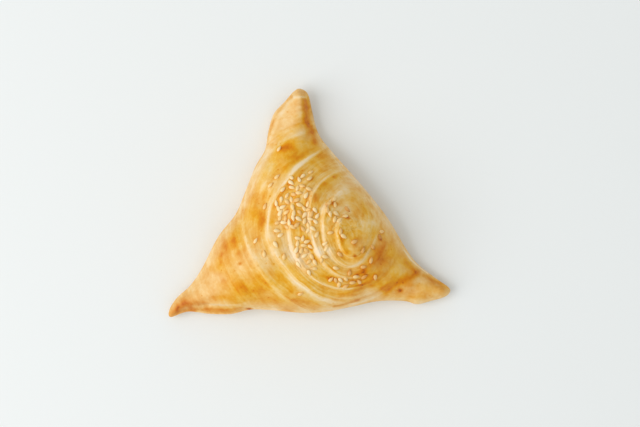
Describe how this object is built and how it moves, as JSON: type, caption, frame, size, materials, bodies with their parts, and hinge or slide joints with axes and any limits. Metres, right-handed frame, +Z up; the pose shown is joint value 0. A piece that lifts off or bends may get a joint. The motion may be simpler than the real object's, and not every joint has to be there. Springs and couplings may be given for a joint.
{
  "type": "chicken samsa",
  "caption": "Triangular baked pastry with three drawn-out horns, a spiral of rolled dough layers on its domed top, sesame seeds and a flat folded base.",
  "frame": {"origin": "on the surface that the pastry rests on, at the centre of its outline seen from above", "axes": "+X from the left horn to the right horn, +Y towards the top horn, +Z up"},
  "size_m": [0.1297, 0.1048, 0.036],
  "materials": {
    "baked_dough": "golden baked dough with a light egg-wash sheen, browned on the ridges and horns, pale where the layers step"
  },
  "bodies": {
    "root": {"samsa": "baked_dough"}
  },
  "joints": []
}
